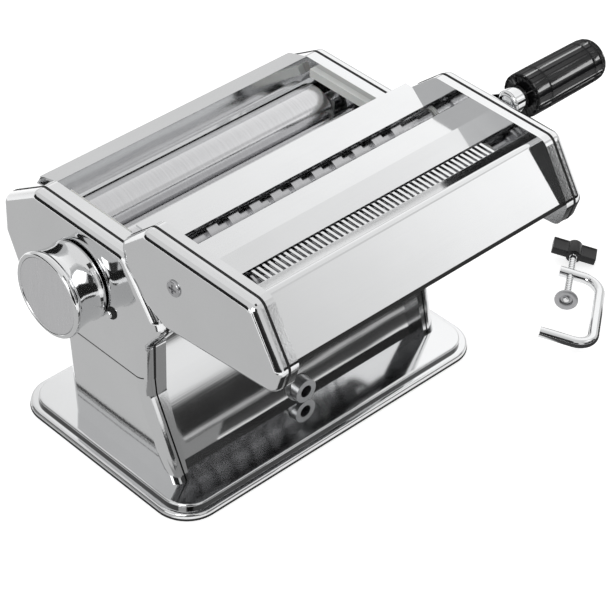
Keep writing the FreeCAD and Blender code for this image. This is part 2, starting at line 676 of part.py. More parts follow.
def make_shift():
    throw = f"({SHIFT} / 2)"
    outline = box_corners("front_axis - slide_front", f"{REAR_AXIS} + slide_rear",
                          f"{BAR_Z} - shift_bar_radius - slide_sheet", "roller_height + slide_top")
    for side, word in ((-1, "left"), (1, "right")):
        plate = slab(f"{word}_slide_plate", outline, SLIDE_IN, "slide_sheet", side)
        holes(plate, [(REAR_AXIS, "roller_height", "roller_shaft + bush_wall"),
                      (BAR_Y, BAR_Z, "shift_bar_radius - shift_bar_spigot")])
        if side < 0:
            reach = "(crank_pin_radius + crank_pin_play)"
            window(plate, f"knob_rear + {throw} - {reach}", f"knob_rear + {throw} + {reach}",
                   f"knob_height - {throw} - {reach}", f"knob_height + {throw} + {reach}")
        else:
            reach = "(roller_shaft + swing_gap)"
            window(plate, f"front_axis - {reach}", f"front_axis + {reach} + {SHIFT}",
                   f"roller_height - {reach}", f"roller_height + {reach}")
    spigot = "shift_bar_radius - shift_bar_spigot"
    turned("shift_bar", BAR_Y, BAR_Z, [
        (f"-{SLIDE_OUT}", "0"), (f"-{SLIDE_OUT}", spigot), (f"-{SLIDE_IN}", spigot),
        (f"-{SLIDE_IN}", "shift_bar_radius"), (SLIDE_IN, "shift_bar_radius"), (SLIDE_IN, spigot),
        (SLIDE_OUT, spigot), (SLIDE_OUT, "0")])
    foot = f"{BAR_Z} + shift_bar_radius"
    tip = "roller_height - roller_radius + scraper_rise"
    across("rear_scraper", [
        (f"{BAR_Y} - scraper_sheet / 2", foot), (f"{BAR_Y} + scraper_sheet / 2", foot),
        (f"{BAR_Y} + scraper_sheet", f"{tip} - scraper_sheet / 2"), (f"{BAR_Y} + scraper_sheet / 4", tip)],
        ROLLER_END)

    shaft = turned("adjuster_shaft", "knob_rear", "knob_height", [
        (f"-{GEAR_IN}", "0"), (f"-{RETAINER_OUT}", "0"), (f"-{RETAINER_OUT}", "adjuster_radius"),
        (f"-{GEAR_OUT}", "adjuster_radius"), (f"-{GEAR_OUT}", "cam_radius"), (f"-{GEAR_IN}", "cam_radius")])
    pin = draw_circle(new_sketch(shaft, "YZ_Plane", f"-{GEAR_IN}"), throw, "0", "crank_pin_radius")
    pad(shaft, pin, f"{GEAR_IN} - {SLIDE_IN}")


# Knob

KNOB_BACK = f"({FACE} + knob_stand)"
KNOB_FACE = f"({FACE} + knob_length)"
HUB_FRONT = f"({KNOB_BACK} + knob_web)"
RETAINER_IN = f"({HUB_FRONT} + spring_length)"
RETAINER_OUT = f"({RETAINER_IN} + retainer_sheet)"


def make_knob(left_cover, right_cover):
    bore = "adjuster_radius + fit_gap"
    seat = f"({KNOB_FACE} - knob_disc_recess - knob_disc_sheet)"
    recess = "knob_disc_radius + fit_gap"
    inside = "knob_disc_radius - knob_wall"
    shell = turned("knob_shell", "knob_rear", "knob_height", [
        (f"-{KNOB_BACK}", bore), (f"-{KNOB_BACK}", "knob_back_radius"),
        (f"-({KNOB_BACK} + knob_waist_at)", "knob_waist"), (f"-({KNOB_FACE} - knob_bead)", "knob_radius"),
        (f"-{KNOB_FACE}", "knob_radius"), (f"-{KNOB_FACE}", recess), (f"-{seat}", recess),
        (f"-{seat}", inside), (f"-{HUB_FRONT}", inside), (f"-{HUB_FRONT}", bore)])
    face, outer = number(KNOB_FACE), number("knob_radius") - 0.01
    round_edges(shell, lambda edge: abs(edge.BoundBox.XMin + face) < 0.01 and edge.BoundBox.ZMax > outer,
                "knob_rim_round")
    turned("knob_disc", "knob_rear", "knob_height", [
        (f"-{seat}", "0"), (f"-{seat} - knob_disc_sheet", "0"),
        (f"-{seat} - knob_disc_sheet", "knob_disc_radius"), (f"-{seat}", "knob_disc_radius")])
    tube("knob_spring", f"-{RETAINER_IN}", f"-{HUB_FRONT}", "adjuster_radius + swing_gap", "spring_radius",
         "knob_rear", "knob_height")
    tube("knob_retainer", f"-{RETAINER_OUT}", f"-{RETAINER_IN}", "adjuster_radius", "retainer_radius",
         "knob_rear", "knob_height")
    pin = turned("index_pin", "knob_rear - index_pin_forward", "knob_height - index_pin_drop", [
        (f"-{FACE}", "0"), (f"-{FACE} - index_pin_reach", "0"),
        (f"-{FACE} - index_pin_reach", "index_pin_radius"), (f"-{FACE}", "index_pin_radius")])
    tip = number(f"-{FACE} - index_pin_reach")
    round_edges(pin, lambda edge: abs(edge.BoundBox.XMax - tip) < 0.01, "index_pin_radius * 0.6")
    holes(left_cover, [("knob_rear", "knob_height", bore)])
    holes(right_cover, [("front_axis", "roller_height", "roller_shaft + side_gap")])


# Crank

CUTTER_HALF = "(frame_half + cutter_side)"
CUTTER_WEB = f"({CUTTER_HALF} + cutter_sheet)"
CUTTER_SEAM = f"({CUTTER_HALF} + cutter_frame_depth)"
CUTTER_FACE = f"({CUTTER_SEAM} + cutter_cover_depth)"
ARM_IN = f"({CUTTER_FACE} + crank_gap)"
ARM_OUT = f"({ARM_IN} + crank_bar)"
GRIP_IN = f"({ARM_OUT} + grip_gap)"
GRIP_OUT = f"({GRIP_IN} + grip_length)"


def make_crank():
    arm = new_body("crank_arm")
    tip = f"({FACE} + socket_proud - socket_depth + side_gap)"
    six = draw_polygon(new_sketch(arm, "YZ_Plane", tip),
                       hex_corners("socket_flats - 2 * socket_play", "crank_angle"))
    pad(arm, six, f"{ARM_OUT} - {tip}")
    neck = f"({FACE} + 2 * socket_proud)"
    shank = draw_circle(new_sketch(arm, "YZ_Plane", neck), "0", "0", "crank_shank")
    pad(arm, shank, f"{ARM_OUT} - {neck}")
    bar = box_corners("-crank_arm", "0", "-crank_bar_half", "crank_bar_half")
    pad(arm, draw_polygon(new_sketch(arm, "YZ_Plane", ARM_IN), bar), "crank_bar")
    for y in ("0", "-crank_arm"):
        pad(arm, draw_circle(new_sketch(arm, "YZ_Plane", ARM_IN), y, "0", "crank_boss"), "crank_bar")
    cut_through(arm, draw_circle(new_sketch(arm, "YZ_Plane"), "-crank_arm", "0", "grip_pin"))
    turn(arm, Vector(-1, 0, 0), "crank_angle")
    place(arm, y="front_axis", z="roller_height")

    y = "front_axis - crank_arm * cos(crank_angle)"
    z = "roller_height + crank_arm * sin(crank_angle)"
    turned("grip_pin", y, z, [
        (ARM_IN, "0"), (ARM_IN, "grip_pin"), (f"{GRIP_OUT} - grip_pin_cap", "grip_pin"),
        (f"{GRIP_OUT} - grip_pin_cap", "grip_pin_head"), (GRIP_OUT, "grip_pin_head"), (GRIP_OUT, "0")])
    recess = "grip_pin_head + swing_gap"
    floor = f"{GRIP_OUT} - grip_pin_cap - swing_gap"
    grip = turned("crank_grip", y, z, [
        (GRIP_IN, "grip_pin + fit_gap"), (GRIP_IN, "grip_radius"), (GRIP_OUT, "grip_radius"),
        (GRIP_OUT, recess), (floor, recess), (floor, "grip_pin + fit_gap")])
    near, far, radius = number(GRIP_IN), number(GRIP_OUT), number("grip_radius")
    outer = radius - 0.01
    round_edges(grip, lambda edge: edge.BoundBox.ZMax > outer and edge.BoundBox.XMin > far - 0.01,
                "grip_end_round")
    round_edges(grip, lambda edge: edge.BoundBox.ZMax > outer and edge.BoundBox.XMax < near + 0.01,
                "grip_end_round / 4")
    flute = draw_circle(new_sketch(grip, "YZ_Plane", f"{GRIP_IN} + grip_collar"),
                        "grip_radius + grip_flute_radius - grip_flute_depth", "0", "grip_flute_radius")
    groove = cut_blind(grip, flute, "grip_length - grip_collar - 2 * grip_end_round", backwards=True)
    ring = grip.newObject("PartDesign::PolarPattern", "crank_grip_flutes")
    ring.Originals = [groove]
    ring.Axis = (flute, ["N_Axis"])
    ring.Angle = 360
    bind(ring, "Occurrences", "grip_flutes")
    grip.Tip = ring


# Cutter head: it hangs over the rail at the front of the machine and lifts straight off.

CUTTER_GEAR_IN = f"({CUTTER_WEB} + side_gap)"
CUTTER_GEAR_OUT = f"({CUTTER_GEAR_IN} + cutter_gear_width)"
CUTTER_PITCH = "(cutter_ring - cutter_overlap / 2)"
CUTTER_AXES = [(kind, row, f"-{kind}_nip {sign} {CUTTER_PITCH}", f"{kind}_height")
               for kind in ("fine", "wide") for row, sign in (("front", "-"), ("rear", "+"))]
DRIVEN = {"fine": "front", "wide": "rear"}
CUTTER_END = f"({CUTTER_HALF} - cutter_end)"
RINGS = {kind: f"floor(2 * {CUTTER_END} / {kind}_pitch)" for kind in DRIVEN}
CUTTER_TIES = [(f"-cutter_tie_{row}", f"cutter_tie_{row}_height") for row in ("front", "rear")]


def make_cheek(side, word):
    """One side of the cutter head: the flanged inner frame and the pressed outer cover."""
    outline = [
        ("-cheek_rear_top", "cheek_rear_high"), ("-cheek_top_rear", "cheek_top"),
        ("-cheek_top_front", "cheek_top"), ("-cheek_nose", "cheek_nose_height"),
        ("-cheek_tip", "cheek_tip_height"), ("-cheek_under", "cheek_under_height"),
        ("-cheek_back", "cheek_back_height"), ("-cheek_rear", "cheek_rear_low")]
    frame = slab(f"{word}_cutter_frame", outline, CUTTER_HALF, "cutter_frame_depth", side)
    round_outline(frame, "outline_round")
    hollow(frame, lambda face: faces_x(face, side), "cutter_sheet")
    holes(frame, [(y, z, "cutter_shaft + cutter_bush_wall") for kind, row, y, z in CUTTER_AXES]
          + [(y, z, "cutter_tie_spigot") for y, z in CUTTER_TIES])
    cover = slab(f"{word}_cutter_cover", outline, f"{CUTTER_SEAM} + seam_gap",
                 "cutter_cover_depth - seam_gap", side)
    round_outline(cover, "outline_round")
    hollow(cover, lambda face: faces_x(face, -side), "cover_sheet")
    round_rim(cover, side, CUTTER_FACE, "cover_sheet", "cheek_round", leaning=False)
    spots = [("-screw_forward", "screw_height", "screw_shank")]
    if side > 0:
        spots += [(y, z, "cutter_shaft + side_gap") for kind, row, y, z in CUTTER_AXES if row == DRIVEN[kind]]
    holes(cover, spots)


def make_cover_screws():
    screws = []
    for side, word in ((-1, "left"), (1, "right")):
        top = f"{side} * ({CUTTER_FACE} + screw_proud)"
        seat = f"{side} * {CUTTER_FACE}"
        end = f"{side} * ({CUTTER_FACE} - screw_length)"
        screw = turned(f"cover_screw_{word}", "-screw_forward", "screw_height", [
            (end, "0"), (end, "screw_shank"), (seat, "screw_shank"), (seat, "screw_radius"),
            (top, "screw_radius"), (top, "0")])
        face = number(top)
        round_edges(screw, lambda edge: abs(middle(edge).x - face) < 0.01 and edge.BoundBox.XLength < 0.01,
                    "screw_proud * 0.8")
        half, reach = "(screw_slot / 2)", "screw_slot_reach"
        cross = [(half, half), (half, reach), (f"-{half}", reach), (f"-{half}", half), (f"-{reach}", half),
                 (f"-{reach}", f"-{half}"), (f"-{half}", f"-{half}"), (f"-{half}", f"-{reach}"),
                 (half, f"-{reach}"), (half, f"-{half}"), (reach, f"-{half}"), (reach, half)]
        sketch = draw_polygon(new_sketch(screw, "YZ_Plane", top), cross)
        cut_blind(screw, sketch, "screw_slot_depth", backwards=side < 0)
        screws.append(member(screw))
    group("cutter_cover_screws", screws)


def make_cutters():
    """Two pairs of grooved rollers; the rings of each roller run in the grooves of its mate."""
    end = CUTTER_END
    left = f"-({CUTTER_WEB} + side_gap)"
    bushes = []
    for kind, row, y, z in CUTTER_AXES:
        name = f"{kind}_{row}_cutter"
        front = row == "front"
        driven = row == DRIVEN[kind]
        right = f"({CUTTER_FACE} + socket_proud)" if driven else CUTTER_GEAR_OUT
        roller = turned(name, y, z, [
            (left, "0"), (left, "cutter_shaft"), (f"-{end}", "cutter_shaft"), (f"-{end}", "cutter_groove"),
            (end, "cutter_groove"), (end, "cutter_shaft"), (right, "cutter_shaft"), (right, "0")])
        count = f"({RINGS[kind]} - {0 if front else 1})"
        first = f"(-({count} - 1) / 2 * {kind}_pitch)"
        sketch = draw_polygon(new_sketch(roller, "XY_Plane"), box_corners(
            f"{first} - {kind}_ring / 2", f"{first} + {kind}_ring / 2", "cutter_groove / 2", "cutter_ring"))
        ring = revolve(roller, sketch)
        repeat(roller, ring, sketch, f"({count} - 1) * {kind}_pitch", count)
        if driven:
            cut_socket(roller, right)
        sizes = ("cutter_gear_addendum", "cutter_gear_dedendum", "cutter_gear_tooth_half")
        make_gear(f"{name}_gear", y, z, CUTTER_PITCH, sizes, "cutter_shaft", CUTTER_GEAR_IN,
                  "cutter_gear_width", half_step=not front)
        for side, word in ((-1, "left"), (1, "right")):
            inner = f"{side} * ({CUTTER_HALF} - side_gap)"
            bush = tube(f"{name}_bush_{word}", inner, f"{side} * {CUTTER_WEB}", "cutter_shaft + fit_gap",
                        "cutter_shaft + cutter_bush_wall", y, z)
            bushes.append(member(bush))
    group("cutter_bushes", bushes)


def repeat(body, feature, sketch, length, count):
    """Repeat a feature along its sketch's first axis."""
    doc.recompute()
    row = body.newObject("PartDesign::LinearPattern", f"{body.Name}_row")
    row.Originals = [feature]
    row.Direction = (sketch, ["H_Axis"])
    bind(row, "Length", length)
    bind(row, "Occurrences", count)
    body.Tip = row


def make_cutter_sheets():
    strip_low = "cutter_strip_top - cutter_sheet"
    lip = "-cutter_strip_front + cutter_sheet"
    across("cutter_rear_strip", [
        ("-cutter_strip_rear", strip_low), ("-cutter_strip_rear", "cutter_strip_top"),
        ("-cutter_strip_front", "cutter_strip_top"), ("-cutter_strip_front", f"{strip_low} - slot_lip"),
        (lip, f"{strip_low} - slot_lip"), (lip, strip_low)], CUTTER_HALF)

    front = "-(rail_back + rail_sheet + swing_gap)"
    back = "-(rail_back - swing_gap)"
    rest = "rail_top + hanger_rest"
    across("hanger_plate", [
        (f"{front} - cutter_sheet", strip_low), (f"{front} - cutter_sheet", "hanger_low"),
        (front, "hanger_low"), (front, rest), (back, rest), (back, "hanger_hook"),
        (f"{back} + cutter_sheet", "hanger_hook"), (f"{back} + cutter_sheet", f"{rest} + cutter_sheet"),
        (front, f"{rest} + cutter_sheet"), (front, strip_low)], "frame_half - hanger_end")

    across("cutter_middle_panel", [
        ("-panel_rear", "panel_top"), ("-panel_front", "panel_top"),
        ("-panel_slope_front", "panel_slope_low"), ("-panel_slope_front", "panel_slope_low - cutter_sheet"),
        ("-panel_front", "panel_top - cutter_sheet"), ("-panel_rear", "panel_top - cutter_sheet")],
        CUTTER_HALF)

    hem = "-shroud_nose + shroud_hem"
    shroud = across("front_shroud", [
        ("-comb_root", "comb_top"), ("-shroud_lip", "shroud_top"), ("-shroud_nose", "shroud_low"),
        (hem, "shroud_low"), (hem, "shroud_low + cutter_sheet"),
        ("-shroud_nose + 2 * cutter_sheet", "shroud_low + cutter_sheet"),
        ("-shroud_lip", "shroud_top - 1.3 * cutter_sheet"), ("-comb_root", "comb_top - cutter_sheet")],
        CUTTER_HALF)
    top = number("shroud_top")
    round_edges(shroud, lambda edge: along_x(edge) and edge.BoundBox.ZMax > top - 0.01, "shroud_bend")

    comb_low = "comb_top - cutter_sheet - comb_sheet"
    comb = across("fine_comb", box_corners("-comb_root - shroud_hem", "-comb_root + comb_sheet", comb_low,
                                           f"{comb_low} + comb_sheet"), CUTTER_HALF)
    span = f"(({RINGS['fine']} - 1) * fine_pitch)"
    first = f"(-{span} / 2)"
    sketch = draw_polygon(new_sketch(comb, "XY_Plane", comb_low), box_corners(
        f"{first} - comb_finger / 2", f"{first} + comb_finger / 2", "-comb_root", "-comb_rear"))
    finger = pad(comb, sketch, "comb_sheet")
    repeat(comb, finger, sketch, span, RINGS["fine"])


# Table clamp: it lies on the surface in front of the crank, with its bar and its pad on the surface.

def lay_clamp(piece):
    tilt = "asin((clamp_pad_radius - clamp_rod) / clamp_reach)"
    bind(piece, "Placement", f"placement(vector({FACE} + clamp_aside; -clamp_forward; clamp_rod);"
         f" rotation(clamp_heading; 0; {tilt}))")


def clamp_turned(name, profile):
    """A turned piece on the clamp screw's axis, from the (x, radius) corners of its half section."""
    body = new_body(name)
    sketch = new_sketch(body, "XY_Plane")
    bind(sketch, "AttachmentOffset.Base.y", "clamp_reach")
    revolve(body, draw_polygon(sketch, profile))
    lay_clamp(body)
    return body


def make_clamp():
    bar = new_body("clamp_bar")
    path = new_sketch(bar, "XY_Plane")
    spots = [("0", "clamp_long_arm"), ("0", "clamp_bend"), ("clamp_bend", "0"),
             ("clamp_jaw - clamp_bend", "0"), ("clamp_jaw", "clamp_bend"),
             ("clamp_jaw", "clamp_reach + clamp_past")]
    points = [Vector(number(u), number(v), 0) for u, v in spots]
    for start in (0, 2, 4):
        line = path.addGeometry(Part.LineSegment(points[start], points[start + 1]))
        pin_point(path, line, 1, *spots[start])
        pin_point(path, line, 2, *spots[start + 1])
    bend = number("clamp_bend")
    for before, after, centre, first in ((0, 1, (bend, bend), math.pi),
                                         (1, 2, (points[3].x, bend), 1.5 * math.pi)):
        circle = Part.Circle(Vector(*centre, 0), Vector(0, 0, 1), bend)
        arc = path.addGeometry(Part.ArcOfCircle(circle, first, first + math.pi / 2))
        path.addConstraint(Sketcher.Constraint("Coincident", arc, 1, before, 2))
        path.addConstraint(Sketcher.Constraint("Coincident", arc, 2, after, 1))
        row = path.addConstraint(Sketcher.Constraint("Radius", arc, bend))
        bind(path, f"Constraints[{row}]", "clamp_bend")
    rod = draw_circle(new_sketch(bar, "XZ_Plane", "-clamp_long_arm"), "0", "0", "clamp_rod")
    doc.recompute()
    sweep = bar.newObject("PartDesign::AdditivePipe", "clamp_bar_sweep")
    sweep.Profile = rod
    sweep.Spine = path
    doc.recompute()
    thread = draw_circle(new_sketch(bar, "YZ_Plane", "clamp_jaw - 2 * clamp_rod"), "clamp_reach", "0",
                         "clamp_screw_radius + fit_gap")
    cut_blind(bar, thread, "4 * clamp_rod", backwards=True)
    lay_clamp(bar)

    pad_top = "(clamp_pad_at + clamp_pad_sheet)"
    seat = f"({pad_top} - clamp_tip_length - swing_gap)"
    hole = "clamp_tip + fit_gap"
    clamp_turned("clamp_pad", [
        ("clamp_pad_at", "0"), ("clamp_pad_at", "clamp_pad_radius"), (pad_top, "clamp_pad_radius"),
        (pad_top, hole), (seat, hole), (seat, "0")])
    tip = f"({pad_top} - clamp_tip_length)"
    neck = f"({pad_top} + swing_gap)"
    end = "(clamp_pad_at + clamp_screw_length)"
    clamp_turned("clamp_screw", [
        (tip, "0"), (tip, "clamp_tip"), (neck, "clamp_tip"), (neck, "clamp_screw_radius"),
        (end, "clamp_screw_radius"), (end, "0")])

    wing = new_body("clamp_wing")
    start = f"({end} - clamp_wing_length)"
    hub = new_sketch(wing, "YZ_Plane", start)
    pad(wing, draw_circle(hub, "clamp_reach", "0", "clamp_wing_hub"), "clamp_wing_length + clamp_tip")
    blade = new_sketch(wing, "XY_Plane", "-clamp_wing_sheet / 2")
    inner, outer = f"({start} + clamp_tip / 2)", f"({end} + clamp_tip)"
    draw_polygon(blade, box_corners(inner, outer, "clamp_reach - clamp_wing_half",
                                    "clamp_reach + clamp_wing_half"))
    pad(wing, blade, "clamp_wing_sheet")
    bore = draw_circle(new_sketch(wing, "YZ_Plane", start), "clamp_reach", "0", "clamp_screw_radius")
    cut_blind(wing, bore, "clamp_wing_length", backwards=True)
    doc.recompute()
    half, low = number("clamp_wing_half"), number("clamp_reach")
    round_edges(wing, lambda edge: edge.BoundBox.ZLength > 1 and abs(abs(middle(edge).y - low) - half) < 0.01
                and edge.BoundBox.XLength < 0.01, "clamp_wing_round")
    lay_clamp(wing)


# Assembly and export

def write_parts():
    doc.recompute()
    for thing in doc.Objects:
        if "Invalid" in thing.State or "Error" in thing.State:
            raise RuntimeError(f"{thing.Label} did not build")
    os.makedirs("parts", exist_ok=True)
    for name, piece in nodes.items():
        shape = piece.Shape
        if shape.isNull() or not shape.isValid() or not shape.Solids:
            raise RuntimeError(f"{name} has no sound solid")
        shape.exportStep(f"parts/{name}.step")


make_base()
make_feet()
left_frame, left_cover = make_side(-1, "left")
right_frame, right_cover = make_side(1, "right")
make_panels()
make_ties("tie_rods", TIES, "frame_half", WEB, "tie_radius", "tie_spigot")
make_clamp_socket()
make_rollers()
make_bushes()
make_roller_gears()
make_shift()
make_knob(left_cover, right_cover)
make_crank()
for cheek_side, cheek_word in ((-1, "left"), (1, "right")):
    make_cheek(cheek_side, cheek_word)
make_cover_screws()
make_cutters()
make_ties("cutter_tie_rods", CUTTER_TIES, CUTTER_HALF, CUTTER_WEB, "cutter_tie_radius", "cutter_tie_spigot")
make_cutter_sheets()
make_clamp()
write_parts()
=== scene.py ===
import math

import bpy
from mathutils import Matrix, Vector


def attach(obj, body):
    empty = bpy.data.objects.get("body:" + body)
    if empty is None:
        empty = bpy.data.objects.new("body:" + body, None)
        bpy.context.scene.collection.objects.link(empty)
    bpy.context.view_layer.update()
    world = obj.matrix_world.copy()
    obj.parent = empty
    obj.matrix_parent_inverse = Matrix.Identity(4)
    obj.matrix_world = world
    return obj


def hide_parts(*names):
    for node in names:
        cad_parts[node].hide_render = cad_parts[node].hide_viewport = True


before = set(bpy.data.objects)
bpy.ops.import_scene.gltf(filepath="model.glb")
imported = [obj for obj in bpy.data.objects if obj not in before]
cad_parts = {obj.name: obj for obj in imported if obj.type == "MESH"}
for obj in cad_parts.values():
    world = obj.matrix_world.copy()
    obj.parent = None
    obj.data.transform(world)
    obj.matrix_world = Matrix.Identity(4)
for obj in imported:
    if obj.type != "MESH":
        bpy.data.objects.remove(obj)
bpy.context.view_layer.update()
bpy.ops.object.select_all(action="DESELECT")


# Base tray
# A shallow tray of bright chromed sheet steel with a stepped rim, deep drawn in a press and polished.
# A dark line painted along its step stands for the shade there, and a thin black band under its lower edge
# paints the shadow beneath the rim. The side frames are spot welded to its flat top.
class Ink:
    """A socket of one material, so that shader maths reads as plain sums and products."""

    def __init__(self, tree, socket=None):
        self.tree = tree
        self.socket = socket

    def node(self, kind, settings, inputs, output=0):
        made = self.tree.nodes.new(kind)
        for name, setting in settings.items():
            if name == "stops":
                ramp = made.color_ramp.elements
                while len(ramp) < len(setting):
                    ramp.new(1)
                for stop, (position, shade) in zip(ramp, setting):
                    stop.position = position
                    stop.color = (shade, shade, shade, 1)
            else:
                setattr(made, name, setting)
        for name, value in inputs.items():
            if isinstance(value, Ink):
                self.tree.links.new(value.socket, made.inputs[name])
            else:
                made.inputs[name].default_value = value
        return Ink(self.tree, made.outputs[output] if made.outputs else None)

    def maths(self, operation, first, second):
        return self.node("ShaderNodeMath", {"operation": operation}, {0: first, 1: second})

    def __add__(self, other):
        return self.maths("ADD", self, other)

    def __radd__(self, other):
        return self.maths("ADD", other, self)

    def __sub__(self, other):
        return self.maths("SUBTRACT", self, other)

    def __rsub__(self, other):
        return self.maths("SUBTRACT", other, self)

    def __mul__(self, other):
        return self.maths("MULTIPLY", self, other)

    def __rmul__(self, other):
        return self.maths("MULTIPLY", other, self)

    def place(self, stretch=(1, 1, 1)):
        spot = self.node("ShaderNodeTexCoord", {}, {}, "Object")
        return self.node("ShaderNodeMapping", {}, {"Vector": spot, "Scale": stretch})

    def cloud(self, scale, detail=2.0, stretch=(1, 1, 1)):
        """Soft noise from 0 to 1, in features to the metre."""
        return self.node("ShaderNodeTexNoise", {}, {
            "Vector": self.place(stretch), "Scale": scale, "Detail": detail}, "Fac")

    def tint(self, share, first, second):
        return self.node("ShaderNodeMix", {"data_type": "RGBA"},
                         {0: share, 6: (*first, 1), 7: (*second, 1)}, 2)

    def relief(self, height, depth):
        return self.node("ShaderNodeBump", {}, {"Height": height, "Distance": depth})


def finish_of(name):
    """A new material with an empty node tree, and the ink to write it with."""
    material = bpy.data.materials.new(name)
    material.use_nodes = True
    material.node_tree.nodes.clear()
    return material, Ink(material.node_tree)


def surface(ink, **sockets):
    """Close a material with one principled surface."""
    inputs = {name.replace("_", " ").title().replace("Ior", "IOR"): value for name, value in sockets.items()}
    shader = ink.node("ShaderNodeBsdfPrincipled", {}, inputs)
    ink.node("ShaderNodeOutputMaterial", {}, {"Surface": shader})


def bright_sheet(name, colour, polish, ripple, along=(1, 1, 1), painted_shade_line=None, grain=0.02):
    """Polished sheet metal: faint press ripples, polishing lines and a little haze.

    A painted shade line is a dark line painted along a crease or step, where shade falls: its height, its
    half width, and how far from the middle it starts.
    """
    material, ink = finish_of(name)
    haze = ink.cloud(35, 3)
    lines = ink.cloud(900, 2, along)
    swell = ink.cloud(14, 1)
    dark = tuple(0.9 * part for part in colour)
    shine = ink.tint(haze * 0.7 + lines * 0.3, dark, colour)
    if painted_shade_line:
        line_height, half_width, reach = painted_shade_line
        # Painted shade: a near-black band at the given height stands for the shade in a crease or step.
        painted_shade_grey = (0.08, 0.08, 0.08, 1)
        spot = ink.place()
        across, height = [ink.node("ShaderNodeSeparateXYZ", {}, {"Vector": spot}, axis) for axis in "XZ"]
        shade_line_mask = ink.node("ShaderNodeMath", {"operation": "COMPARE"},
                          {0: height, 1: line_height, 2: half_width})
        shade_line_mask = shade_line_mask * ink.maths("GREATER_THAN", across * across, reach ** 2)
        shine = ink.node("ShaderNodeMix", {"data_type": "RGBA"},
                         {0: shade_line_mask, 6: shine, 7: painted_shade_grey}, 2)
    surface(ink, base_color=shine, metallic=1.0, roughness=polish + 0.05 * haze + 0.03 * lines,
            normal=ink.relief(swell + grain * lines, ripple))
    return material


def dress(material, *names):
    for name in names:
        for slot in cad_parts[name].material_slots:
            slot.material = material


def fit(piece, body, slot, material, *nodes):
    """Give a finished piece its material, the body that carries it and the nodes that it stands for."""
    piece.data.materials.clear()
    piece.data.materials.append(material)
    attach(piece, body)
    if nodes:
        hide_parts(*nodes)


def pick(piece):
    """Select one piece alone, and make it the active one."""
    bpy.ops.object.select_all(action="DESELECT")
    piece.select_set(True)
    bpy.context.view_layer.objects.active = piece


def seam_shade_strip(pressing, axis, edge, depth):
    """A thin band on a pressing's free edge, which lies in the plane axis = edge; dressed black, it paints
    the shade in a seam.
    """
    slack, swelling = 5e-5, 0.00025
    strip = bpy.data.objects.new(f"{pressing}_seam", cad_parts[pressing].data.copy())
    bpy.context.scene.collection.objects.link(strip)
    pick(strip)
    bpy.ops.object.mode_set(mode="EDIT")
    bpy.ops.mesh.select_mode(type="FACE")
    bpy.ops.mesh.select_all(action="SELECT")
    bpy.ops.mesh.remove_doubles(threshold=1e-6)
    bpy.ops.mesh.select_all(action="DESELECT")
    bpy.ops.object.mode_set(mode="OBJECT")
    points = strip.data.vertices
    for side in strip.data.polygons:
        side.select = any(abs(points[corner].co[axis] - edge) > slack for corner in side.vertices)
    bpy.ops.object.mode_set(mode="EDIT")
    bpy.ops.mesh.delete(type="FACE")
    bpy.ops.mesh.select_all(action="SELECT")
    move = [depth if number == axis else 0 for number in range(3)]
    bpy.ops.mesh.extrude_region_move(TRANSFORM_OT_translate={"value": move})
    bpy.ops.mesh.select_all(action="SELECT")
    bpy.ops.mesh.normals_make_consistent(inside=False)
    bpy.ops.transform.shrink_fatten(value=swelling)
    bpy.ops.object.mode_set(mode="OBJECT")
    return strip


# Painted shade: the black of the strips that stand for shade in the seams, under the tray's edge, round the
# index pin and in the shroud's hem.
def painted_shade_black():
    material, ink = finish_of("painted_shade_black")
    grain = ink.cloud(2500, 3)
    surface(ink, base_color=ink.tint(grain, (0.004, 0.004, 0.004), (0.012, 0.012, 0.012)),
            roughness=0.7 + 0.2 * grain, normal=ink.relief(grain, 0.00005))
    return material


chrome = (0.74, 0.745, 0.75)
# Painted shade: a dark line along the tray's step.
tray_step_shade = (0.005, 0.0008, 0)
dress(bright_sheet("tray_chrome_with_painted_step_shade", chrome, 0.04, 0.0004, painted_shade_line=tray_step_shade, grain=0.003), "base_plate")
shade_black = painted_shade_black()
# Painted shadow: a thin black band round the tray's lower edge.
fit(seam_shade_strip("base_plate", 2, 0.0006, 0.0007), "machine", "rubber", shade_black)


# Rubber pads
# Soft black rubber, moulded in one piece each. They are pushed into the tray's underside and carry the
# machine on the table.
def rubber_pads():
    material, ink = finish_of("rubber")
    grain = ink.cloud(1800, 4)
    surface(ink, base_color=ink.tint(grain, (0.02, 0.02, 0.02), (0.05, 0.05, 0.048)),
            roughness=0.75 + 0.15 * grain, normal=ink.relief(grain, 0.00015))
    return material


dress(rubber_pads(), "base_feet")


# Side frames and side covers
# Pairs of chromed pressings. The inner frame carries the bearings, and the outer cover with its rounded rim
# hooks over the frame's flange, which leaves a narrow seam all round. A black strip in each seam paints its
# shade, and a dark line along the covers' crease paints the shade there.
dress(bright_sheet("pressed_chrome", chrome, 0.04, 0.0004), "left_frame", "right_frame")
# Painted shade: a dark line along the covers' crease.
cover_crease_shade = (0.066, 0.0004, 0.0925)
dress(bright_sheet("chrome_with_painted_crease_shade", chrome, 0.04, 0.0004, painted_shade_line=cover_crease_shade), "left_cover", "right_cover")


# Painted shade: black strips in the seams between the covers and the frames.
fit(seam_shade_strip("left_cover", 0, -0.0874, 0.0009), "machine", "black_plastic", shade_black)
fit(seam_shade_strip("right_cover", 0, 0.0874, -0.0009), "machine", "black_plastic", shade_black)


# Sheets between the sides
# Folded bright sheet, cut and bent in one press, then spot welded between the frames. Their polishing
# lines run across the machine.
cross_lines = (0.03, 1, 1)
folded_sheet = bright_sheet("folded_sheet", chrome, 0.055, 0.0003, cross_lines)
dress(bright_sheet("apron_sheet", chrome, 0.02, 0.0002, cross_lines), "front_apron")
dress(folded_sheet, "rear_panel", "rear_head_panel", "rear_feed_plate", "front_feed_plate",
      "cutter_rail", "front_scraper", "rear_scraper")


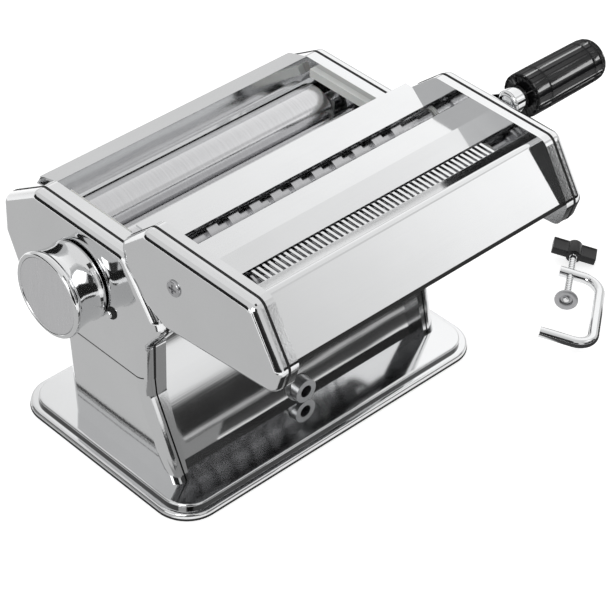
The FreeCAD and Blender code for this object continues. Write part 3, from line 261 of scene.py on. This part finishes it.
# Tie rods, slides and gears
# Bright drawn steel and cut steel gears, turned and milled, with a film of oil. They are peened, pressed
# or pinned in place inside the sides.
def cut_steel(name, colour, polish, turned):
    """Machined steel with fine turning rings about the X axis, or plain milled grain."""
    material, ink = finish_of(name)
    grain = ink.cloud(1400, 3, (1, 0.05, 0.05) if turned else (0.2, 1, 1))
    oil = ink.cloud(60, 2)
    dark = tuple(0.82 * part for part in colour)
    surface(ink, base_color=ink.tint(grain, dark, colour), metallic=1.0,
            roughness=polish + 0.1 * grain + 0.06 * oil, normal=ink.relief(grain, 0.00004))
    return material


turned_steel = cut_steel("turned_steel", (0.5, 0.5, 0.51), 0.16, True)
milled_steel = cut_steel("milled_steel", (0.46, 0.465, 0.47), 0.24, False)
dress(turned_steel, "tie_rods", "cutter_tie_rods", "shift_bar", "adjuster_shaft", "knob_retainer",
      "knob_spring", "grip_pin")
dress(milled_steel, "left_slide_plate", "right_slide_plate", "drive_gear", "driven_gear", "clamp_socket")


# Bushes and dough guides
# Natural white nylon, injection moulded, with faint flow marks.
# They are pushed into the frames.
def white_nylon():
    material, ink = finish_of("white_nylon")
    flow = ink.cloud(220, 3)
    surface(ink, base_color=ink.tint(flow, (0.74, 0.74, 0.71), (0.84, 0.84, 0.82)),
            roughness=0.42 + 0.1 * flow, subsurface_weight=0.05, normal=ink.relief(flow, 0.00005))
    return material


dress(white_nylon(), "front_roller_bushes", "rear_roller_bushes", "cutter_bushes", "left_dough_guide",
      "right_dough_guide")


# Dough rollers
# Hard-chromed steel, ground between centres until they are smooth.
# The front one carries the crank's socket, the rear one runs in the sliding carriage.
ground_roller = cut_steel("ground_roller", (0.64, 0.64, 0.65), 0.07, True)
dress(ground_roller, "front_roller", "rear_roller")


# Thickness knob
# A turned and chromed shell with a rounded bead at its face, and a flat satin disc let into it. It slides on
# the adjuster's shaft against a hidden spring, and the pin beside it holds its setting.
def satin_disc():
    material, ink = finish_of("satin_disc")
    grain = ink.cloud(700, 3, (1, 1, 0.08))
    surface(ink, base_color=ink.tint(grain, (0.62, 0.62, 0.63), (0.7, 0.7, 0.71)), metallic=1.0,
            roughness=0.22 + 0.08 * grain, normal=ink.relief(grain, 0.00002))
    return material


def turn_on_lathe(name, axis, stations, sides=96):
    """A round piece about a line along X through axis.

    The stations are rings of (x, radius) in millimetres, joined by walls.
    """
    rings = [(0.001 * x, 0.001 * radius) for x, radius in stations]
    centre = Vector((0, *axis))
    bpy.ops.object.select_all(action="DESELECT")
    bpy.ops.mesh.primitive_circle_add(vertices=sides, radius=rings[0][1], rotation=(0, math.pi / 2, 0),
                                      location=(rings[0][0], *axis))
    piece = bpy.context.object
    piece.name = name
    bpy.ops.object.transform_apply(location=True, rotation=True, scale=True)
    bpy.ops.object.mode_set(mode="EDIT")
    bpy.ops.mesh.select_mode(type="VERT")
    bpy.ops.mesh.select_all(action="SELECT")
    for (x, radius), (next_x, next_radius) in zip(rings, rings[1:]):
        bpy.ops.mesh.extrude_region_move(TRANSFORM_OT_translate={"value": (next_x - x, 0, 0)})
        share = next_radius / radius
        bpy.ops.transform.resize(value=(1, share, share), center_override=centre)
    bpy.ops.mesh.select_all(action="SELECT")
    bpy.ops.mesh.remove_doubles(threshold=1e-6)
    bpy.ops.mesh.fill_holes(sides=0)
    bpy.ops.mesh.select_all(action="SELECT")
    bpy.ops.mesh.normals_make_consistent(inside=False)
    bpy.ops.object.mode_set(mode="OBJECT")
    return piece


def shade(piece, degrees):
    pick(piece)
    bpy.ops.object.shade_smooth_by_angle(angle=math.radians(degrees))


def work(piece, kind, **settings):
    """Add a modifier to a piece and apply it."""
    modifier = piece.modifiers.new(kind.lower(), kind)
    for name, value in settings.items():
        setattr(modifier, name, value)
    bpy.context.view_layer.objects.active = piece
    bpy.ops.object.modifier_apply(modifier=modifier.name)


turned_chrome = bright_sheet("turned_chrome", chrome, 0.035, 0.0001)
knob_axis = (0.0173, 0.1004)
knob = turn_on_lathe("knob_turned_shell", knob_axis, [
    (-94.8, 4.06), (-94.8, 19.6), (-94.9, 20.1), (-95.2, 20.4), (-95.8, 20.5), (-96.6, 20.4), (-97.4, 20.05),
    (-98.6, 19.78), (-100.2, 19.7), (-102, 19.78), (-104.5, 20.1), (-107, 20.55), (-109.4, 21.1),
    (-109.9, 21.15), (-110.1, 21.35), (-110.5, 21.7), (-111.1, 21.93), (-111.9, 22), (-112.6, 21.93),
    (-113.3, 21.65), (-113.75, 21.2), (-113.97, 20.6), (-113.9, 20.05), (-113.6, 19.65), (-113.2, 19.46),
    (-112, 19.46), (-112, 17.2), (-101.2, 17.2), (-101.2, 4.06), (-94.8, 4.06)], 128)
shade(knob, 50)
fit(knob, "knob", "chrome", turned_chrome, "knob_shell")
dress(satin_disc(), "knob_disc")
dress(turned_chrome, "index_pin")
# Painted shade: a black ring round the index pin's foot stands for the dark ring of shade there.
pin_axis = (-0.0054, 0.0937)
pin_shade_ring = turn_on_lathe("pin_shade_ring", pin_axis, [
    (-93.9, 1.85), (-93.9, 3.2), (-94.5, 3.2), (-94.9, 2.9), (-95, 2.5), (-95, 1.85), (-93.9, 1.85)], 48)
shade(pin_shade_ring, 40)
fit(pin_shade_ring, "machine", "black_plastic", shade_black)


# Crank
# A chromed steel arm with a six-sided end and a domed rivet. Its grip is black plastic, moulded with eight
# shallow flats, and turns on a pin.
def black_plastic(name, shine):
    material, ink = finish_of(name)
    grain = ink.cloud(900, 3)
    surface(ink, base_color=ink.tint(grain, (0.003, 0.003, 0.0035), (0.008, 0.008, 0.0085)),
            roughness=shine + 0.06 * grain, ior=1.36, normal=ink.relief(grain, 0.00002))
    return material


def moulded_grip(axis):
    grip = turn_on_lathe("moulded_grip", axis, [
        (109.5, 3.1), (109.5, 10), (109.7, 10.7), (110.3, 11.1), (111.2, 11.2), (120.5, 11.2), (151.5, 10.95),
        (156.5, 10.85), (158.4, 10.5), (159.7, 9.8), (160.3, 8.9), (160.5, 7.8), (160.5, 5.8),
        (157.7, 5.8), (157.7, 3.1), (109.5, 3.1)], 24)
    flats_from, flats_to, outside = 0.1206, 0.1514, 0.01
    flat_and_land, land = 45, 15
    for side in grip.data.polygons:
        across, up = side.center.y - axis[0], side.center.z - axis[1]
        turned = math.degrees(math.atan2(up, -across)) % flat_and_land
        on_barrel = flats_from < side.center.x < flats_to and math.hypot(across, up) > outside
        side.select = on_barrel and turned > land
    bpy.ops.object.mode_set(mode="EDIT")
    bpy.ops.mesh.select_mode(type="FACE")
    bpy.ops.mesh.dissolve_faces()
    bpy.ops.mesh.inset(thickness=0.0005, depth=-0.0006, use_individual=True)
    bpy.ops.mesh.face_make_planar(repeat=8)
    bpy.ops.object.mode_set(mode="OBJECT")
    work(grip, "BEVEL", width=0.0003, segments=3, limit_method="ANGLE", angle_limit=math.radians(22))
    shade(grip, 30)
    return grip


crank_end = (-0.06672, 0.15329)
dress(turned_chrome, "crank_arm")
rivet = turn_on_lathe("crank_rivet", crank_end, [
    (101.2, 6.2), (101, 6.2), (100.7, 6.1), (100.3, 5.7), (100.05, 5.2), (99.95, 4.6), (100.05, 4.1),
    (100, 3.7), (99.6, 2.9), (99.35, 2), (99.25, 1), (99.22, 0.4)], 64)
shade(rivet, 60)
fit(rivet, "crank", "chrome", turned_chrome)
grip = moulded_grip(crank_end)
fit(grip, "grip", "black_plastic", black_plastic("grip_plastic", 0.1), "crank_grip")


# Cutter head: cheeks and sheets
# Two double cheeks of pressed chrome with folded sheets between them, held by spacer rods. A cross-head
# screw holds each outer cheek. Black strips in the cheeks' seams paint their shade, and a black rod along the
# shroud's lower edge paints the dark reflection in its hem.
cheek_chrome = bright_sheet("cheek_chrome", chrome, 0.04, 0.0004)
dress(cheek_chrome, "left_cutter_frame", "right_cutter_frame", "left_cutter_cover", "right_cutter_cover")
dress(turned_steel, "cutter_cover_screws")
# Painted shade: black strips in the seams between the cutter's covers and frames.
fit(seam_shade_strip("left_cutter_cover", 0, -0.0914, 0.0009), "cutter_head", "black_plastic", shade_black)
fit(seam_shade_strip("right_cutter_cover", 0, 0.0914, -0.0009), "cutter_head", "black_plastic", shade_black)
dress(folded_sheet, "cutter_rear_strip", "hanger_plate", "cutter_middle_panel", "front_shroud", "fine_comb")
# Painted reflection: a black rod along the shroud's lower edge stands for the dark reflection in its hem.
shroud_edge = (-0.11775, 0.12953)
hem_shade_rod = turn_on_lathe("shroud_hem_shade", shroud_edge, [
    (-85.4, 0.4), (-85.4, 0.8), (-85.2, 1), (85.2, 1), (85.4, 0.8), (85.4, 0.4)], 24)
shade(hem_shade_rod, 40)
fit(hem_shade_rod, "cutter_head", "rubber", shade_black)


# Cutter rollers
# Grooved steel rollers in two pairs, turned from bar.
# Their milled gears are on the crank's side.
for kind in ("fine", "wide"):
    for row in ("front", "rear"):
        dress(turned_steel, f"{kind}_{row}_cutter")
        dress(milled_steel, f"{kind}_{row}_cutter_gear")


# Table clamp
# A chromed bent rod with a screw through its short arm. A grey pressed washer is riveted to the screw's end,
# and a black moulded wing turns it. The clamp is modelled square and then laid on the floor as one.
rod_radius, washer_radius, screw_offset = 0.0029, 0.0063, 0.017
clamp_corner = (0.1415, -0.103, rod_radius)
clamp_swing = math.radians(36)
clamp_tilt = math.asin((washer_radius - rod_radius) / screw_offset)
clamp_lie = (Matrix.Translation(clamp_corner) @ Matrix.Rotation(clamp_swing, 4, "Z")
             @ Matrix.Rotation(clamp_tilt, 4, "X"))
screw_axis = (screw_offset, 0)


def lay(piece):
    pick(piece)
    piece.matrix_world = clamp_lie
    bpy.ops.object.transform_apply(location=True, rotation=True, scale=True)
    return piece


def cut_thread(name, start, turns, pitch, radius):
    """A screw's thread: one small four-sided ridge wound along X."""
    ridge = 0.0005
    bpy.ops.object.select_all(action="DESELECT")
    bpy.ops.mesh.primitive_circle_add(vertices=4, radius=ridge, location=(start, radius - ridge, 0))
    thread = bpy.context.object
    thread.name = name
    bpy.ops.object.transform_apply(location=True, rotation=True, scale=True)
    work(thread, "SCREW", axis="X", screw_offset=pitch, iterations=turns, steps=20, render_steps=20,
         use_merge_vertices=True)
    bpy.ops.object.mode_set(mode="EDIT")
    bpy.ops.mesh.select_all(action="SELECT")
    bpy.ops.mesh.fill_holes(sides=0)
    bpy.ops.mesh.select_all(action="SELECT")
    bpy.ops.mesh.normals_make_consistent(inside=False)
    bpy.ops.transform.translate(value=(0, *screw_axis))
    bpy.ops.object.mode_set(mode="OBJECT")
    return thread


def join(first, second):
    pick(first)
    second.select_set(True)
    bpy.ops.object.join()
    return first


def moulded_wing():
    """A flat bar with a sunk panel on each half, and a round hub in its middle."""
    bar_middle, bar_size = 0.07455, (0.0097, 0.024, 0.0044)
    half_hub, near_top = 0.0036, 0.0021
    bpy.ops.object.select_all(action="DESELECT")
    bpy.ops.mesh.primitive_cube_add(size=1, location=(bar_middle, screw_offset, 0), scale=bar_size)
    wing = bpy.context.object
    wing.name = "moulded_wing"
    bpy.ops.object.transform_apply(location=True, rotation=True, scale=True)
    bpy.ops.object.mode_set(mode="EDIT")
    for y in (screw_offset - half_hub, screw_offset + half_hub):
        bpy.ops.mesh.select_all(action="SELECT")
        bpy.ops.mesh.bisect(plane_co=(0, y, 0), plane_no=(0, 1, 0))
    bpy.ops.mesh.select_mode(type="FACE")
    bpy.ops.mesh.select_all(action="DESELECT")
    bpy.ops.object.mode_set(mode="OBJECT")
    for side in wing.data.polygons:
        side.select = abs(side.center.z) > near_top and abs(side.center.y - screw_offset) > half_hub
    bpy.ops.object.mode_set(mode="EDIT")
    bpy.ops.mesh.inset(thickness=0.0011, depth=-0.0008, use_individual=True)
    bpy.ops.object.mode_set(mode="OBJECT")
    work(wing, "BEVEL", width=0.00035, segments=3, limit_method="ANGLE", angle_limit=math.radians(30))
    hub = turn_on_lathe("wing_hub", screw_axis, [
        (69, 2.02), (69, 3.6), (69.3, 4.1), (69.8, 4.2), (78.6, 4.2), (79.1, 4.1), (79.4, 3.7),
        (79.4, 0.4)], 32)
    wing = join(wing, hub)
    shade(wing, 35)
    return wing


def screw_and_thread():
    thread_start, thread_turns, thread_pitch, thread_radius = 0.0356, 21, 0.0015, 0.002
    core = turn_on_lathe("clamp_screw_thread", screw_axis, [
        (32.4, 0.6), (32.4, 1.2), (32.6, 1.4), (34.3, 1.4), (34.3, 1.5), (34.8, 1.75), (68.6, 1.75),
        (68.8, 2), (77.9, 2), (77.9, 0.6)], 32)
    screw = join(core, cut_thread("thread", thread_start, thread_turns, thread_pitch, thread_radius))
    shade(screw, 35)
    return screw


clamp_washer = turn_on_lathe("clamp_washer", screw_axis, [
    (33, 1.46), (34.2, 1.46), (34.2, 2.9), (33.8, 3.7), (32.9, 5.5), (32.3, 6.1), (31.7, 6.3), (31.2, 6.2),
    (31, 5.9), (31, 3.9), (31.1, 3.6), (31.6, 3.3), (32.6, 3.1), (32.7, 2.8), (32.7, 0.4)], 64)
shade(clamp_washer, 40)
washer_rivet = turn_on_lathe("washer_rivet", screw_axis, [
    (32.8, 1.8), (32.2, 1.8), (31.6, 1.7), (31.3, 1.4), (31.15, 0.9), (31.1, 0.3)], 32)
shade(washer_rivet, 60)
fit(lay(washer_rivet), "clamp_foot", "chrome", turned_chrome)
grey_washer = cut_steel("grey_washer", (0.4, 0.4, 0.41), 0.3, True)
fit(lay(clamp_washer), "clamp_foot", "satin_metal", grey_washer, "clamp_pad")
fit(lay(screw_and_thread()), "clamp_spindle", "chrome", turned_chrome, "clamp_screw")
fit(lay(moulded_wing()), "clamp_spindle", "black_plastic", black_plastic("wing_plastic", 0.22), "clamp_wing")
dress(turned_chrome, "clamp_bar")


# Floor and room
# A plain white sweep. It shines white for the camera and for reflections, and still takes the
# machine's shadow.
def ray_kinds(ink):
    """Whether a ray comes from the camera, from a reflection or through glass."""
    return [ink.node("ShaderNodeLightPath", {}, {}, f"Is {kind} Ray")
            for kind in ("Camera", "Glossy", "Transmission")]


def white_room():
    bpy.ops.mesh.primitive_plane_add(size=8)
    floor = bpy.context.object
    floor.name = "floor"
    material, ink = finish_of("white_floor")
    seen, mirrored, through = ray_kinds(ink)
    paper = ink.node("ShaderNodeBsdfDiffuse", {}, {"Color": (0.8, 0.8, 0.8, 1)})
    glow = ink.node("ShaderNodeEmission", {}, {
        "Color": (1, 1, 1, 1), "Strength": 0.7 * (seen + mirrored + through)})
    both = ink.node("ShaderNodeAddShader", {}, {0: paper, 1: glow})
    ink.node("ShaderNodeOutputMaterial", {}, {"Surface": both})
    floor.data.materials.append(material)

    world = bpy.data.worlds.new("white_room")
    bpy.context.scene.world = world
    world.use_nodes = True
    world.node_tree.nodes.clear()
    sky = Ink(world.node_tree)
    seen, mirrored, through = ray_kinds(sky)
    white = sky.maths("MINIMUM", seen + through + 0.6 * mirrored, 1.0)
    light = sky.node("ShaderNodeBackground", {}, {"Color": (1, 1, 1, 1), "Strength": 0.5 + 0.5 * white})
    sky.node("ShaderNodeOutputWorld", {}, {"Surface": light})


white_room()


# Studio light
# A large soft box over the right rear lights the flat tops, a small one at the left gives the rims their
# sparkle, and one in front lights the grip alone. White, grey and dark cards, which only reflections see,
# give the bright metal its bands and lines.
def soft_box(name, spot, aim, size, brightness, only=None, mirrored=False):
    lamp = bpy.data.lights.new(name, "AREA")
    lamp.shape = "RECTANGLE"
    lamp.size, lamp.size_y = size
    lamp.energy = brightness * math.pi * size[0] * size[1]
    box = bpy.data.objects.new(name, lamp)
    bpy.context.scene.collection.objects.link(box)
    box.location = spot
    box.rotation_euler = (Vector(aim) - Vector(spot)).to_track_quat("-Z", "Y").to_euler()
    box.visible_glossy = mirrored
    if only:
        lit = bpy.data.collections.new(name)
        for piece in only:
            lit.objects.link(piece)
        box.light_linking.receiver_collection = lit


def card(name, centre, across, up, stops, streaks=0.0):
    """A flat card that only reflections see, shaded across its width by stops, or with one even shade."""
    if not isinstance(stops, list):
        stops = [(0, stops), (1, stops)]
    bpy.ops.mesh.primitive_plane_add(size=2)
    sheet = bpy.context.object
    sheet.name = name
    for corner in sheet.data.vertices:
        corner.co = Vector(centre) + corner.co.x * Vector(across) + corner.co.y * Vector(up)
    material, ink = finish_of(name)
    spot = ink.node("ShaderNodeTexCoord", {}, {}, "UV")
    along = ink.node("ShaderNodeSeparateXYZ", {}, {"Vector": spot}, "X")
    shift = streaks * (ink.cloud(18, 2, (1, 0.25, 1)) - 0.5)
    shade_of = ink.node("ShaderNodeValToRGB", {"stops": stops}, {"Fac": along + shift})
    glow = ink.node("ShaderNodeEmission", {}, {"Color": shade_of, "Strength": 1.0})
    ink.node("ShaderNodeOutputMaterial", {}, {"Surface": glow})
    sheet.data.materials.append(material)
    sheet.visible_camera = False
    sheet.visible_diffuse = False
    sheet.visible_shadow = False


machine_middle = (0, -0.02, 0.08)
soft_box("top_box", (0.8, 0.75, 1.1), machine_middle, (1.2, 1.2), 0.9)
soft_box("left_box", (-0.9, -0.5, 0.7), machine_middle, (0.45, 0.45), 4, mirrored=True)
soft_box("grip_box", (0.52, -0.56, 0.47), (0.135, -0.067, 0.153), (0.4, 0.22), 14, [grip], True)

card("ceiling_card", (0.5, 0.45, 0.55), (0.75, 0, 0), (0, 0.75, 0), [(0.3, 0.95), (0.4, 1.12), (0.52, 1.3)])
card("shroud_card", (0.44, -0.68, 0.49), (0.277, 0.214, 0), (-0.03, 0.038, 0.099),
     [(0.25, 0.66), (0.5, 1.0), (0.7, 1.34)])
card("apron_card", (0.16, -0.225, 0.0012), (0, -0.16, 0), (0.27, 0, 0), [
    (0.066, 1.05), (0.08, 0.08), (0.165, 0.03), (0.19, 0.75), (0.215, 0.03), (0.43, 0.04), (0.54, 1),
    (1, 1.1)], 0.03)
card("pedestal_card", (-0.063, -0.09, 0.0016), (0.042, 0, 0), (0.02, -0.024, 0), 0.3)
card("flange_card", (0, -0.18, 0.0016), (0.009, 0, 0), (0.058, -0.1065, 0), [(0, 0.26), (1, 0.3)])
card("side_floor_card", (-0.448, 0.1, 0.0012), (0.3475, 0, 0), (0, 0.42, 0), [(0, 0.66), (1, 0.62)])
card("tray_line_card", (-0.103, -0.005, 0.0022), (0.0008, 0, 0), (0, 0.062, 0), 0.03)
card("knob_floor_card", (-0.4, -0.34, 0.0016), (0.12, 0, 0), (0, 0.07, 0), 0.06)
card("left_dark_strip", (-1.1, 0.75, 0.3), (0.45, 0.68, 0), (0, 0, 0.3), 0.02)
card("nose_card", (0.7, -1.05, 0.27), (0, 0, 0.27), (0.5, 0.33, 0), [(0.45, 0.02), (0.8, 0.3), (1, 0.6)])
card("nose_edge_card", (0.608, -1.1, 0.44), (0.03, 0.02, 0), (0.0085, 0.0056, 0.03), 1.15)
card("nose_dark_card", (0.792, -0.983, 0.4), (0.04, 0.0264, 0), (0.019, 0.0127, 0.06), 0.05)
card("nose_light_card", (0.862, -0.937, 0.4), (0.03, 0.02, 0), (0.019, 0.0127, 0.06), 1.2)
card("cheek_dark_card", (-0.43, -0.63, 0.47), (0.1, -0.1, 0), (0.05, 0.05, 0.16), 0.05)
card("knob_dark_strip", (-0.75, -0.74, 0.22), (0.5, -0.41, 0), (0, 0, 0.22), 0.02)
card("knob_dark_top", (-0.11, -0.23, 0.545), (0.08, 0, 0), (0, 0.07, 0), 0.05)
card("knob_rim_card", (-1.1, -0.15, 0.3), (0.1, -0.4, 0), (0, 0, 0.2), 1.4)


# Camera
# The photograph's own viewpoint: a long lens above the front left corner, with a slight roll.
# Its lens is worked out for a square frame.
def photo_camera():
    azimuth, elevation, roll = math.radians(-44.75), math.radians(38.89), math.radians(1.86)
    target = Vector((0, -0.027, 0.07))
    offset = Vector((-0.00773, -0.00851, 1.18836))
    focal_pixels, frame_pixels = 2470.2, 616
    back = Vector((math.sin(azimuth) * math.cos(elevation), -math.cos(azimuth) * math.cos(elevation),
                   math.sin(elevation)))
    level = (-back).cross(Vector((0, 0, 1))).normalized()
    upright = level.cross(-back)
    right = level * math.cos(roll) + upright * math.sin(roll)
    up = upright * math.cos(roll) - level * math.sin(roll)
    lens = bpy.data.cameras.new("photo_camera")
    lens.sensor_width = 36
    lens.lens = focal_pixels / frame_pixels * lens.sensor_width
    camera = bpy.data.objects.new("photo_camera", lens)
    bpy.context.scene.collection.objects.link(camera)
    spot = target - right * offset.x + up * offset.y + back * offset.z
    camera.matrix_world = Matrix.Translation(spot) @ Matrix((right, up, back)).transposed().to_4x4()
    bpy.context.scene.camera = camera


photo_camera()
bpy.context.scene.view_settings.view_transform = "Standard"
